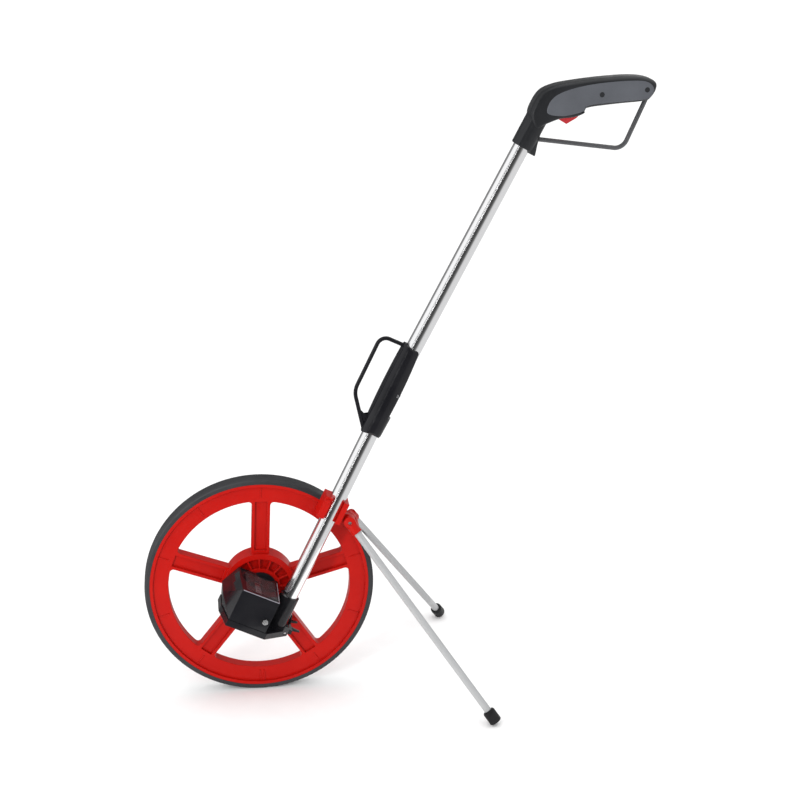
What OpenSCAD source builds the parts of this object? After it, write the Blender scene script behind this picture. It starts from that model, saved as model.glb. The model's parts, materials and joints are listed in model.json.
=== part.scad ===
// Measuring wheel with a hub counter, a folding pole, a trigger handle and a two-legged stand.
// Millimetres. The origin is where the tyre touches the ground; +X points back to the user,
// +Z is up and the wheel's axle lies along Y. "Pole frame" means coordinates (a, y, u) from the
// axle's centre: u runs up along the lower tube, a is square to it and points back and down.

/* [Wheel] */
// Rolling radius: one turn of the wheel is one metre
wheel_r = 159; // [120:1:200]
// Width of the tyre
tyre_w = 24.5; // [16:0.5:40]
// Thickness of the tyre outside the rim
tyre_t = 7; // [4:0.5:10]
// Radius of the outer edge of the spoke windows
window_r = 126; // [100:1:130]
// Radius of the hub
hub_r = 50; // [48:1:60]
// Width of a spoke
spoke_w = 25; // [16:1:32]
// Number of spokes
spokes = 5; // [3:1:7]
// Angle of the first spoke from the horizontal
first_spoke = 87.5; // [54:0.5:126]
// Number of pockets round the hub's near face
pockets = 16; // [9:1:20]

/* [Pole] */
// Lean of the lower tube back from the vertical, in degrees
lean = 25.8; // [24:0.1:28]
// Extra lean of the upper tube at the middle hinge, in degrees
bend = 1.8; // [0:0.1:3]
// Outer diameter of both tubes
tube_d = 22; // [20:0.5:23]
// Wall of both tubes
tube_wall = 1.1; // [0.8:0.1:1.5]
// Distance of the pole's centre plane from the wheel's centre plane
pole_y = -45; // [-48:1:-44]
// Distance of the pole's axis behind the axle, in the pole frame
pole_a = 36; // [35:0.5:38]
// Height of the fold hinge along the pole
hinge_u = 340; // [320:5:360]
// Distance of the hinge pin behind the pole's axis
hinge_back = 7; // [6.5:0.25:7.5]
// Height along the pole where the upper tube enters the handle
handle_u = 703.5; // [680:0.5:730]

/* [Grip sleeve] */
// Lower end of the sleeve along the pole
sleeve_low = 275.5; // [270:0.5:280]
// Length of the sleeve
sleeve_l = 131; // [128:1:140]
// Radius of the sleeve at its ends
sleeve_end_r = 14.4; // [14:0.1:15]
// Radius of the sleeve at its middle
sleeve_mid_r = 16.2; // [15.8:0.1:17]
// Reach of the carrying loop from the pole's axis
loop_reach = 45; // [40:1:55]
// Radius of the loop's rod
loop_rod_r = 3; // [2.5:0.1:3.5]

/* [Stand] */
// Place of the near foot on the ground
near_foot_at = [314, -157]; // [-400:1:400]
// Place of the far foot on the ground
far_foot_at = [287, 192]; // [-400:1:400]
// Shift of the far leg's upper end, which clears the tyre
far_leg_shift = [6.5, -4, 2.5]; // [-10:0.5:12]
// Height along the pole where the lines of both legs meet the pole's axis
apex_u = 165; // [160:1:170]
// Radius of a leg tube
leg_r = 5; // [4:0.25:5.5]
// Radius of a rubber foot
foot_r = 8.5; // [7:0.25:10]
// Length of a rubber foot
foot_l = 20; // [16:1:28]

/* [Counter] */
// Place of the drum axis in the pole frame
drum_at = [-12.5, 7.15]; // [-20:0.05:20]
// Radius of a number drum
drum_r = 8.8; // [8.5:0.1:8.8]
// Pitch of the number drums along their shaft
drum_pitch = 7.6; // [7:0.1:7.8]
// Teeth on the drive gear and on the counter gear
gear_teeth = 24; // [20:1:30]

/* [Hidden] */
$fn = 64;

eps = 0.01;
black = [0.06, 0.06, 0.065];
red = [0.80, 0.10, 0.08];
steel = [0.75, 0.76, 0.78];
dark_grey = [0.20, 0.21, 0.22];

// Wheel
rim_r = wheel_r - tyre_t;
rim_w = tyre_w - 0.5;
lip_t = 4.5;
web_w = 17;
hub_near = -15;
hub_far = 13;
hub_bore_r = 7;
axle_r = 4;
pocket_low_r = 28;
pocket_high_r = 42;
pocket_depth = 8;
rib_w = 2.2;

// Gears: equal wheels, so the drums turn once per turn of the wheel
gear_centres = norm(drum_at);
gear_module = gear_centres / gear_teeth;
gear_near = -26;
gear_far = -21;

// Counter box, in the pole frame
box_near = -90;
box_far = -18;
box_top = 18.6;
base_top = -29;
base_t = 9;
base_low = base_top - base_t;
wall = 2.5;
drum_first = -46.5;
drum_gap = 0.3;
shaft_r = 1.5;
boss_near = -44;
boss_far = -28;
button_at = [9.7, -12.9];
cover_r = 23.5;

// Pole
tube_r = tube_d / 2;
bore_r = tube_r - tube_wall;
hinge_a = pole_a + hinge_back;
tube_gap = 18;
tube_in_handle = 42;
socket_top = 17;
tongue_r = 5.5;
pin_r = 2.5;
pin_fit = 0.05;
rod_r = 1.5;
rod_hole_r = 2.3;

// Handle, in axes parallel to the ground frame, from the point where the tube enters it
handle_w = 32;
grip_t = 1.6;
grip_proud = 0.4;
screw_post_r = 4.2;
trigger_at = [35, 46];

function lower_point(a, u) =
    [a * cos(lean) + u * sin(lean), wheel_r - a * sin(lean) + u * cos(lean)];
function upper_point(a, u) =
    lower_point(hinge_a + (a - hinge_a) * cos(bend) + (u - hinge_u) * sin(bend),
        hinge_u - (a - hinge_a) * sin(bend) + (u - hinge_u) * cos(bend));
apex = [lower_point(pole_a, apex_u)[0], pole_y, lower_point(pole_a, apex_u)[1]];
handle_at = upper_point(pole_a, handle_u);

// Direction of a leg, and how far along it the tube's end and the sole lie
foot_edge = 3;
function leg_top(foot) = foot[1] > 0 ? apex + far_leg_shift : apex;
function leg_way(foot) = [foot[0], foot[1], 0] - leg_top(foot);
function leg_turn(foot) =
    [0, acos(leg_way(foot)[2] / norm(leg_way(foot))), atan2(leg_way(foot)[1], leg_way(foot)[0])];
function sole_rise(foot) =
    let (drop = -leg_way(foot)[2] / norm(leg_way(foot)))
    foot_edge + (foot_r - foot_edge) * sqrt(1 - drop * drop) - foot_edge * drop;
function leg_reach(foot) =
    (leg_top(foot)[2] - sole_rise(foot)) * norm(leg_way(foot)) / leg_top(foot)[2];

// Yoke pivot behind the bracket, in the pole frame
yoke_a = pole_a + 27;
yoke_u = apex_u - 14;
socket_from = 37;
socket_to = 50;
leg_from = 41;

module leaning() translate([0, 0, wheel_r]) rotate([0, lean, 0]) children();

module bent() leaning() translate([hinge_a, 0, hinge_u]) rotate([0, bend, 0])
    translate([-hinge_a, 0, -hinge_u]) children();

// The sleeve lies half way between the two tubes
module sleeve_frame() leaning() translate([pole_a, pole_y, hinge_u]) rotate([0, bend / 2, 0])
    translate([0, 0, -hinge_u]) children();

module at_wheel() translate([0, 0, wheel_r]) children();

// Cylinder along Y between two y values, at (a, u) or (x, z)
module bar_y(at, y_low, y_high, r) translate([at[0], y_low, at[1]]) rotate([-90, 0, 0])
    cylinder(r = r, h = y_high - y_low);

module ring_y(at, y_low, y_high, r, inner) difference() {
    bar_y(at, y_low, y_high, r);
    bar_y(at, y_low - 1, y_high + 1, inner);
}

// An outline in (a, u) or (x, z) carried along Y
module plate_y(y_low, y_high) translate([0, y_high, 0]) rotate([90, 0, 0])
    linear_extrude(y_high - y_low) children();

// Round rod along a path in (a, u) or (x, z), with an arc of the given radius at each inner point
function turn_at(p, i) =
    let (before = p[i] - p[i - 1], after = p[i + 1] - p[i])
    atan2(before[0] * after[1] - before[1] * after[0], before * after);
function way_to(p, i) = (p[i] - p[i - 1]) / norm(p[i] - p[i - 1]);
function arc_cut(p, i, bends) =
    i == 0 || i == len(p) - 1 ? 0 : bends[i - 1] * tan(abs(turn_at(p, i)) / 2);
function arc_centre(p, i, bend_r) =
    let (way = way_to(p, i), across = sign(turn_at(p, i)) * [-way[1], way[0]])
    p[i] - way * bend_r * tan(abs(turn_at(p, i)) / 2) + bend_r * across;

module rod_y(from, to, r) let (way = to - from) translate([from[0], 0, from[1]])
    rotate([0, 90 - atan2(way[1], way[0]), 0]) rotate(50) cylinder(r = r, h = norm(way));

// Each straight part ends a little way inside the bend, which is thinner by bend_thin
bend_lap = 0.8;
bend_thin = 0.06;
module bent_rod(p, bends, r) {
    for (i = [1 : len(p) - 1])
        rod_y(p[i - 1] + way_to(p, i) * max(0, arc_cut(p, i - 1, bends) - bend_lap),
            p[i] - way_to(p, i) * max(0, arc_cut(p, i, bends) - bend_lap), r);
    for (i = [1 : len(p) - 2]) let (turn = turn_at(p, i), way = way_to(p, i),
        centre = arc_centre(p, i, bends[i - 1]),
        start = atan2(-sign(turn) * way[0], sign(turn) * way[1]))
        translate([centre[0], 0, centre[1]]) rotate([90, 0, 0]) rotate(min(start, start + turn))
            rotate_extrude(angle = abs(turn), $fn = 96) translate([bends[i - 1], 0])
                circle(r = r - bend_thin, $fn = 32);
}

// Gear outline: straight-flanked teeth that run with backlash
module gear_outline(teeth, turn) {
    pitch_r = teeth * gear_module / 2;
    root_r = pitch_r - 1.25 * gear_module;
    tip_r = pitch_r + 0.9 * gear_module;
    step = 360 / teeth;
    rotate(turn) {
        circle(r = root_r);
        for (i = [0 : teeth - 1]) rotate(i * step) polygon([
            [root_r * 0.97, -0.5 * step * root_r * PI / 180 * 0.66],
            [tip_r, -0.5 * step * tip_r * PI / 180 * 0.20],
            [tip_r, 0.5 * step * tip_r * PI / 180 * 0.20],
            [root_r * 0.97, 0.5 * step * root_r * PI / 180 * 0.66]]);
    }
}

// ---- Wheel ----

module window_outline() {
    corner = 5;
    offset(r = corner, $fn = 32) offset(delta = -corner) difference() {
        circle(r = window_r, $fn = 120);
        circle(r = hub_r - 2, $fn = 90);
        for (i = [0 : spokes - 1]) rotate(first_spoke + i * 360 / spokes)
            translate([0, -spoke_w / 2]) square([wheel_r, spoke_w]);
    }
}

// Recess between the raised edges of each spoke
module spoke_recess(depth, y) for (i = [0 : spokes - 1])
    rotate([0, -first_spoke - i * 360 / spokes, 0]) translate([hub_r + 3, y, -spoke_w / 2 + 4])
        cube([window_r - hub_r - 4, depth, spoke_w - 8]);

module wheel() color(red) at_wheel() {
    difference() {
        union() {
            ring_y([0, 0], -rim_w / 2, rim_w / 2, rim_r, rim_r - lip_t, $fn = 180);
            difference() {
                plate_y(-web_w / 2, web_w / 2) difference() {
                    circle(r = rim_r - 3, $fn = 180);
                    window_outline();
                }
                spoke_recess(4, -web_w / 2 - eps);
                spoke_recess(4, web_w / 2 - 4 + eps);
            }
            ring_y([0, 0], hub_near, hub_far, hub_r, hub_bore_r);
        }
        bar_y([0, 0], hub_near - 1, hub_far + 1, hub_bore_r);
        ring_y([0, 0], hub_near - 1, hub_near + pocket_depth, pocket_high_r, pocket_low_r);
        ring_y([0, 0], hub_far - 5, hub_far + 1, pocket_high_r + 4, pocket_low_r - 9);
    }
    for (i = [0 : pockets - 1]) rotate([0, i * 360 / pockets, 0])
        translate([pocket_low_r - 1, hub_near + 0.3, -rib_w / 2])
            cube([pocket_high_r - pocket_low_r + 2, pocket_depth + 0.7, rib_w]);
}

module tyre() color(dark_grey) at_wheel() rotate([90, 0, 0]) rotate_extrude($fn = 180) {
    shoulder = 3;
    translate([rim_r, -tyre_w / 2]) square([tyre_t - shoulder, tyre_w]);
    translate([rim_r, -tyre_w / 2 + shoulder]) square([tyre_t, tyre_w - 2 * shoulder]);
    for (side = [-1, 1]) translate([wheel_r - shoulder, side * (tyre_w / 2 - shoulder)])
        circle(r = shoulder, $fn = 24);
}

module near_bush() color(black) at_wheel()
    ring_y([0, 0], hub_near, -3, hub_bore_r, axle_r + pin_fit);

module far_bush() color(black) at_wheel() {
    ring_y([0, 0], 1, hub_far, hub_bore_r, axle_r + pin_fit);
    ring_y([0, 0], hub_far, hub_far + 1.5, hub_bore_r + 3, axle_r + pin_fit);
}

module drive_gear() color("white") at_wheel() difference() {
    union() {
        bar_y([0, 0], hub_near - 2, hub_near, 12);
        rotate([0, lean, 0]) plate_y(gear_near, hub_near - 2 + eps) gear_outline(gear_teeth, 0);
    }
    bar_y([0, 0], gear_near - 1, hub_near + 1, axle_r + 0.4);
}

module axle_bolt() color(steel) at_wheel() {
    bar_y([0, 0], boss_near + 1, hub_far + 3.5, axle_r);
    translate([0, hub_far + 3, 0]) rotate([-90, 0, 0]) cylinder(r = 7.5, h = 5.5, $fn = 6);
}

module axle_washer() color(steel) at_wheel()
    ring_y([0, 0], hub_far + 1.5, hub_far + 3, 9, axle_r + 0.2);

module axle_spacer() color(steel) at_wheel()
    ring_y([0, 0], boss_far, gear_near - 0.2, 6, axle_r + 0.1);

// ---- Counter ----

// Solid form of the counter box grown by "more"; the far part bulges towards the wheel's front
module box_form(more) hull() {
    translate([-37 - more, box_near - more, base_top]) cube([54 + 2 * more, 1, box_top - base_top + more]);
    plate_y(-52, box_far + min(more, 0)) polygon([[-46 - more, base_top], [-53 - more, -10],
        [-40 - more, box_top + more], [18 + more, box_top + more], [18 + more, base_top]]);
}

module base_outline() polygon([[-38, box_near - 1], [19.5, box_near - 1], [55, -53], [55, -36],
    [42, -36], [42, -18], [-47, -18], [-47, -53]]);

module pole_bore(low, high, r) translate([pole_a, pole_y, low]) cylinder(r = r, h = high - low);

module base_bracket() color(black) leaning() difference() {
    union() {
        translate([0, 0, base_low]) linear_extrude(base_t) base_outline();
        pole_bore(base_top - eps, socket_top, tube_r + 2.6);
        translate([18.3, pole_y - 9, base_top - eps]) cube([6, 18, socket_top - base_top - 10]);
        translate([-9, boss_near, base_top - eps]) cube([18, boss_far - boss_near, -base_top]);
        bar_y([0, 0], boss_near, boss_far, 9);
        translate([button_at[0] - 6, -70, base_top - eps])
            cube([9.5, 4, button_at[1] - base_top + 6]);
    }
    bar_y([0, 0], boss_near - 1, boss_far + 1, axle_r);
    pole_bore(base_top + 2, socket_top + 1, tube_r);
    pole_bore(base_top - 1, base_top + 3, rod_hole_r);
    translate([pole_a - 5, slot_near, base_low - 1]) cube([25, slot_far - slot_near, base_t + 1.5]);
    bar_y(brake_at, slot_near - 20, slot_far + 10, brake_pin_r);
    bar_y(button_at, -71, -65, 2.2);
    for (at = housing_screw_at) translate([at[0], at[1], base_low - 1])
        cylinder(r = 1.5, h = base_t + 2);
    for (at = housing_screw_at) translate([at[0], at[1], base_low - 1]) cylinder(r = 3, h = 3);
}

housing_screw_at = [[-33, -84], [10, -84], [-40, -24], [12, -24]];

module counter_housing() color(black) leaning() difference() {
    union() {
        difference() {
            box_form(0);
            translate([0, 0, -eps]) box_form(-wall);
            translate([-31, box_near + 8, box_top - wall - 1]) cube([44, 56, wall + 2]);
        }
        for (at = housing_screw_at) intersection() {
            translate([at[0], at[1], base_top]) cylinder(r = 4, h = 10);
            box_form(-0.5);
        }
        bar_y(drum_at, box_near + wall - eps, drum_end - 0.4, 3.5);
        bar_y(drum_at, gear_far + 0.3, box_far - wall + eps, 3.5);
        ring_y([0, 0], box_far - 1, box_far + 1.8, cover_r, 13);
    }
    for (at = housing_screw_at) translate([at[0], at[1], base_top - 1])
        cylinder(r = 1.2, h = 12);
    bar_y([0, 0], box_far - wall - 1, box_far + 1, 9.5);
    bar_y(drum_at, box_near + 1.2, box_far - 1, shaft_r);
    bar_y(button_at, box_near - 1, box_near + wall + 1, 4.2);
    translate([pole_a, pole_y, base_top - 1]) cylinder(r = tube_r + 2.7, h = 60);
}

drum_end = drum_first - 5 * drum_pitch;

// Tinted window set into the box's top face
module counter_window() color([0.15, 0.12, 0.14, 0.7]) leaning()
    translate([-31, box_near + 8, box_top - 1.4]) cube([44, 56, 1.6]);

module housing_screws() color(steel) leaning() for (at = housing_screw_at)
    translate([at[0], at[1], base_low]) {
        cylinder(r = 1.2, h = 18);
        cylinder(r = 2.8, h = 1.8);
    }

module drum_shaft() color(steel) leaning() bar_y(drum_at, box_near + 1.2, box_far - 1, shaft_r);

module counter_gear() color("white") leaning() difference() {
    union() {
        translate([drum_at[0], 0, drum_at[1]]) plate_y(gear_near + 0.3, gear_far)
            rotate(-atan2(drum_at[1], -drum_at[0])) gear_outline(gear_teeth, 180 + 180 / gear_teeth);
        bar_y(drum_at, drum_first + drum_gap, gear_near + 0.3 + eps, 3);
    }
    bar_y(drum_at, drum_first - 1, gear_far + 1, shaft_r + pin_fit);
}

// Number drum, counted from the wheel's side
module number_drum(place) leaning() {
    high = drum_first - place * drum_pitch;
    low = high - drum_pitch + drum_gap;
    ring_y(drum_at, low, high, drum_r, drum_r - 1.6);
    ring_y(drum_at, low + 2, high - 2, drum_r - 1.5, 3);
    ring_y(drum_at, low, high, 3.1, shaft_r + pin_fit);
}

module drum_tenths() color(red) number_drum(0);
module drum_ones() color(black) number_drum(1);
module drum_tens() color(black) number_drum(2);
module drum_hundreds() color(black) number_drum(3);
module drum_thousands() color(black) number_drum(4);

module reset_button() color(steel) leaning() {
    bar_y(button_at, box_near - 3.6, box_near + wall + 0.2, 4);
    bar_y(button_at, box_near + wall + 0.2 - eps, box_near + wall + 1.6, 4.7);
    bar_y(button_at, box_near + wall + 1.6 - eps, -65, 2);
}

// Spring coil along Y: rings a pitch apart, joined by a thin back strip
module coil_y(at, y_low, y_high, r, wire, turns) {
    step = (y_high - y_low - wire) / (turns - 1);
    for (i = [0 : turns - 1]) translate([at[0], y_low + wire / 2 + i * step, at[1]])
        rotate([90, 0, 0]) rotate_extrude($fn = 32) translate([r, 0]) circle(d = wire, $fn = 13);
    translate([at[0] + r - wire / 4, y_low + wire / 4, at[1] - wire / 4])
        cube([wire / 2, y_high - y_low - wire / 2, wire / 2]);
}

module reset_spring() color(steel) leaning()
    coil_y(button_at, box_near + wall + 1.7, -70, 3.2, 0.8, 6);

// ---- Brake ----

brake_at = [50, -33.5];
brake_pin_r = 2;
slot_near = -49;
slot_far = -41;

// The rod presses the arm down in the base's slot, which swings the pad against the hub
module brake_lever() color(black) leaning() difference() {
    union() {
        plate_y(slot_near + 0.7, slot_far - 0.7) polygon([[33, -35.5], [33, -31.2], [50, -29.5],
            [61, -30], [61, -36], [50, -37.5]]);
        bar_y(brake_at, slot_near + 0.7, slot_far - 0.7, 4.02);
        plate_y(slot_near + 0.7, -11) polygon([[57, -36], [57, -31], [61, -31], [61, -36]]);
        plate_y(-20, -11) polygon([[55.7, -19], [58.4, -20.3], [61, -30], [61, -34], [57, -34],
            [57, -31], [50.9, -29.8]]);
        plate_y(-36, -32) polygon([[60, -36], [74, -34], [74, -32.5], [60, -31]]);
        plate_y(-16, -12) polygon([[60, -34], [71, -30.5], [71, -29], [60, -30]]);
    }
    bar_y(brake_at, slot_near - 1, slot_far + 1, brake_pin_r + pin_fit);
}

module brake_pad() color(black) leaning() plate_y(-16, -11)
    polygon([[50, -17.2], [45.8, -26.2], [50.9, -29.8], [55.7, -19]]);

module brake_pin() color(steel) leaning()
    bar_y(brake_at, slot_near - 7, slot_far + 4.8, brake_pin_r);

// ---- Pole ----

module tube(low, high) difference() {
    pole_bore(low, high, tube_r);
    pole_bore(low - 1, high + 1, bore_r);
}

module lower_tube() color(steel) leaning() tube(base_top + 2, hinge_u - tube_gap);
module upper_tube() color(steel) bent() tube(hinge_u + tube_gap, handle_u + tube_in_handle);

module knuckle_hole(low, high) pole_bore(low, high, rod_hole_r);

module lower_knuckle() color(steel) leaning() difference() {
    union() {
        pole_bore(hinge_u - 45, hinge_u - tube_gap, bore_r);
        plate_y(pole_y - 4.3, pole_y + 4.3) hull() {
            translate([hinge_a, hinge_u]) circle(r = tongue_r, $fn = 48);
            translate([pole_a - 8.7, hinge_u - tube_gap - 1]) square([17.4, 1]);
        }
    }
    bar_y([hinge_a, hinge_u], pole_y - 20, pole_y + 20, pin_r + pin_fit);
    knuckle_hole(hinge_u - 46, hinge_u + 10);
}

module upper_knuckle() color(steel) bent() difference() {
    union() {
        pole_bore(hinge_u + 13, hinge_u + 45, bore_r);
        for (side = [-1, 1]) plate_y(pole_y + side * 7.1 - 2.6, pole_y + side * 7.1 + 2.6) hull() {
            translate([hinge_a, hinge_u]) circle(r = tongue_r, $fn = 48);
            translate([pole_a - 1, hinge_u + tube_gap - 1.2]) square([5, 1]);
        }
    }
    bar_y([hinge_a, hinge_u], pole_y - 20, pole_y + 20, pin_r + pin_fit);
    knuckle_hole(hinge_u + 10, hinge_u + 46);
}

module hinge_pin() color(steel) leaning() bar_y([hinge_a, hinge_u], pole_y - 14.6, pole_y + 14.6, pin_r);

loop_low = sleeve_low + 10;
loop_high = sleeve_low + sleeve_l - 2.5;
loop_points = [[-sleeve_end_r + 3, loop_high], [-loop_reach, loop_high],
    [-loop_reach, loop_low + 35], [-sleeve_end_r + 3, loop_low - 8]];
loop_bends = [12, 28];

// Carrying loop on the sleeve's front, with a gusset at its lower end
module sleeve_loop() {
    bent_rod(loop_points, loop_bends, loop_rod_r);
    plate_y(-1.5, 1.5) polygon([[-sleeve_end_r + 2, loop_low - 6], [-26, loop_low + 9],
        [-22, loop_low + 14], [-sleeve_end_r + 2, loop_low + 17]]);
}

// Barrel whose radius swells along an arc towards the middle
sleeve_steps = 12;
function sleeve_r_at(t) = sleeve_end_r + (sleeve_mid_r - sleeve_end_r) * (1 - pow(2 * t - 1, 2));

module grip_sleeve() color(black) difference() {
    sleeve_frame() {
        rotate_extrude() polygon(concat([[0, sleeve_low]],
            [for (i = [0 : sleeve_steps]) [sleeve_r_at(i / sleeve_steps),
                sleeve_low + sleeve_l * i / sleeve_steps]],
            [[0, sleeve_low + sleeve_l]]));
        sleeve_loop();
    }
    leaning() pole_bore(sleeve_low - 1, hinge_u, tube_r + pin_fit);
    bent() pole_bore(hinge_u - 30, sleeve_low + sleeve_l + 2, tube_r + 0.35);
    bent() translate([pole_a, pole_y - tube_r - 0.35, hinge_u - 34])
        cube([40, tube_d + 0.7, sleeve_l]);
    leaning() bar_y([hinge_a, hinge_u], pole_y - 20, pole_y + 20, pin_r);
}

// ---- Rods ----

module lower_rod() color(steel) leaning() pole_bore(base_top - 1.4, hinge_u + 4.4, rod_r);

module upper_rod() color(steel) bent()
    pole_bore(hinge_u + 5, handle_u + tube_in_handle + 6, rod_r);

// ---- Stand ----

bracket_low = apex_u - 23;
bracket_high = apex_u + 9;
bracket_rear = pole_a + 15.5;
bracket_screw_at = [pole_y + 8.5, bracket_high - 6];

module stand_bracket() color(red) leaning() difference() {
    union() {
        translate([pole_a - 18.5, pole_y - 13, bracket_low])
            cube([bracket_rear - pole_a + 18.5, 28, bracket_high - bracket_low]);
        plate_y(pole_y - 4, pole_y + 4) hull() {
            translate([yoke_a, yoke_u]) circle(r = 7.5, $fn = 48);
            translate([bracket_rear - 3.5, yoke_u - 8.5]) square([3, 15]);
        }
        bar_y([pole_a - 14, bracket_high - 6], pole_y - 16, pole_y - 12, 3);
    }
    pole_bore(bracket_low - 1, bracket_high + 1, tube_r);
    translate([pole_a - 8.5, pole_y - 20, bracket_low - 1])
        cube([17, 20, bracket_high - bracket_low + 2]);
    bar_y([yoke_a, yoke_u], pole_y - 5, pole_y + 5, pin_r + pin_fit);
    translate([bracket_rear - 5, bracket_screw_at[0], bracket_screw_at[1]]) rotate([0, 90, 0])
        cylinder(r = 1.5, h = 6);
}

module bracket_screw() color(steel) leaning()
    translate([bracket_rear - 4, bracket_screw_at[0], bracket_screw_at[1]]) rotate([0, 90, 0]) {
        cylinder(r = 1.5, h = 4.5);
        translate([0, 0, 4]) cylinder(r = 3, h = 2);
    }

module along_leg(foot) translate(leg_top(foot)) rotate(leg_turn(foot)) children();

module yoke_cheek(y_low, y_high) leaning() translate([yoke_a, y_low, yoke_u]) rotate([-90, 0, 0])
    cylinder(r = 8, h = y_high - y_low, $fn = 40);

module leg_stub(foot, from, r) along_leg(foot) translate([0, 0, from]) cylinder(r = r, h = 4, $fn = 32);

module yoke() color(red) difference() {
    union() {
        hull() {
            yoke_cheek(pole_y - 13, pole_y - 4.3);
            leg_stub(near_foot_at, socket_from + 3, 6.2);
        }
        hull() {
            yoke_cheek(pole_y + 4.3, pole_y + 13);
            leg_stub(far_foot_at, socket_from + 3, 6.2);
        }
        hull() {
            leg_stub(near_foot_at, socket_to - 6, 5.6);
            leg_stub(far_foot_at, socket_to - 6, 5.6);
        }
        for (foot = [near_foot_at, far_foot_at]) along_leg(foot) translate([0, 0, socket_from])
            cylinder(r = leg_r + 2.3, h = socket_to - socket_from);
    }
    for (foot = [near_foot_at, far_foot_at]) along_leg(foot) translate([0, 0, leg_from])
        cylinder(r = leg_r, h = 40);
    leaning() bar_y([yoke_a, yoke_u], pole_y - 30, pole_y + 14.5, pin_r);
    leaning() bar_y([yoke_a, yoke_u], pole_y - 4.2, pole_y + 4.2, 9);
}

module yoke_pin() color(steel) leaning() bar_y([yoke_a, yoke_u], pole_y - 14, pole_y + 14, pin_r);

module leg(foot) along_leg(foot) difference() {
    translate([0, 0, leg_from]) cylinder(r = leg_r, h = leg_reach(foot) - leg_from - 4);
    translate([0, 0, leg_from - 1]) cylinder(r = leg_r - 1, h = leg_reach(foot));
}

module near_leg() color("gainsboro") leg(near_foot_at);
module far_leg() color("gainsboro") leg(far_foot_at);

module foot(at) along_leg(at) translate([0, 0, leg_reach(at) - foot_l]) difference() {
    rotate_extrude() {
        square([foot_r - foot_edge, foot_l]);
        translate([0, foot_edge]) square([foot_r, foot_l - 2 * foot_edge]);
        for (z = [foot_edge, foot_l - foot_edge]) intersection() {
            translate([foot_r - foot_edge, z]) circle(r = foot_edge, $fn = 32);
            square([foot_r, foot_l]);
        }
    }
    translate([0, 0, -1]) cylinder(r = leg_r, h = foot_l - 4 + 1);
}

module near_foot() color(black) foot(near_foot_at);
module far_foot() color(black) foot(far_foot_at);

// ---- Handle ----

// Smooth closed curve through the points
function knot(p, i) = p[(i + len(p)) % len(p)];
function curve_point(p, i, t) =
    let (a = knot(p, i - 1), b = knot(p, i), c = knot(p, i + 1), d = knot(p, i + 2))
    0.5 * (2 * b + (c - a) * t + (2 * a - 5 * b + 4 * c - d) * t * t
        + (3 * b - a - 3 * c + d) * t * t * t);
function smooth(p, steps) =
    [for (i = [0 : len(p) - 1], s = [0 : steps - 1]) curve_point(p, i, s / steps)];

handle_points = [[8, 40], [11, 54], [22, 71], [39, 79], [61, 83], [97, 87], [134, 89], [157, 87],
    [170, 81], [171, 72], [165, 62], [156, 57], [120, 54], [82, 49.5], [79, 43], [66, 38], [47, 36],
    [30, 30], [16, 24]];
grip_points = [[29.5, 44.5], [31, 57], [40, 67], [56, 74], [80, 79.5], [110, 83], [140, 84.3],
    [158, 82.3], [166.5, 75], [165, 66], [157, 60], [120, 57], [84, 53.5], [77, 46.5], [64, 42.5],
    [46, 40.5]];
handle_screw_at = [[24, 57], [99.5, 67], [158, 72]];

module at_handle() translate([handle_at[0], 0, handle_at[1]]) children();

module handle_body() {
    at_handle() {
        plate_y(pole_y - handle_w / 2 + 4, pole_y + handle_w / 2 - 4) polygon(smooth(handle_points, 5));
        plate_y(pole_y - handle_w / 2, pole_y + handle_w / 2) offset(delta = -3.5)
            polygon(smooth(handle_points, 5));
    }
    bent() {
        translate([pole_a, pole_y, handle_u]) rotate(50) cylinder(r = tube_r + 4, h = 50);
        plate_y(pole_y - 5, pole_y + 5) polygon([[pole_a + 9, handle_u - 4], [pole_a + 21, handle_u - 4],
            [pole_a + 17.5, handle_u + 13], [pole_a + 13, handle_u + 28], [pole_a + 9, handle_u + 34]]);
    }
}

module handle_cavity() {
    at_handle() difference() {
        plate_y(pole_y - handle_w / 2 + 5, pole_y + handle_w / 2 - 5) intersection() {
            offset(delta = -6) polygon(smooth(handle_points, 5));
            translate([14, 0]) square([200, 100]);
        }
        for (at = handle_screw_at) bar_y(at, pole_y - handle_w / 2, pole_y + handle_w / 2, screw_post_r);
    }
    bent() pole_bore(handle_u - 20, handle_u + tube_in_handle, tube_r);
    at_handle() translate([0, pole_y, 0]) {
        rod_y(guard_points[0], guard_points[1], guard_r + pin_fit);
        rod_y(guard_points[2], guard_points[1], guard_r + pin_fit);
    }
    bent() pole_bore(handle_u, handle_u + tube_in_handle + 10, 4);
    at_handle() plate_y(pole_y - 5, pole_y + 5)
        polygon([[27, 50], [27, 45], [45, 29], [82, 29], [82, 50]]);
    at_handle() for (at = handle_screw_at) bar_y(at, pole_y - 30, pole_y + 9, 1.5);
    at_handle() for (at = handle_screw_at) bar_y(at, pole_y - 30, pole_y - handle_w / 2 + 3, 3.1);
    at_handle() bar_y(trigger_at, pole_y - 9, pole_y + 9, 1.5);
}

module handle_half(side) intersection() {
    difference() {
        handle_body();
        handle_cavity();
        for (face = [-1, 1]) grip_slab(face);
    }
    at_handle() translate([-60, side < 0 ? pole_y - 40 : pole_y, -60]) cube([300, 40, 200]);
}

module grip_slab(side) {
    middle = pole_y + side * (handle_w / 2 - grip_proud);
    at_handle() plate_y(middle - grip_t / 2, middle + grip_t / 2) polygon(smooth(grip_points, 5));
}

module grip_panel(side) difference() {
    grip_slab(side);
    at_handle() for (at = handle_screw_at) bar_y(at, pole_y - 30, pole_y + 30, 3.6);
}

module handle_near() color(dark_grey) handle_half(-1);
module handle_far() color(dark_grey) handle_half(1);
module grip_near() color("dimgray") grip_panel(-1);
module grip_far() color("dimgray") grip_panel(1);

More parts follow.
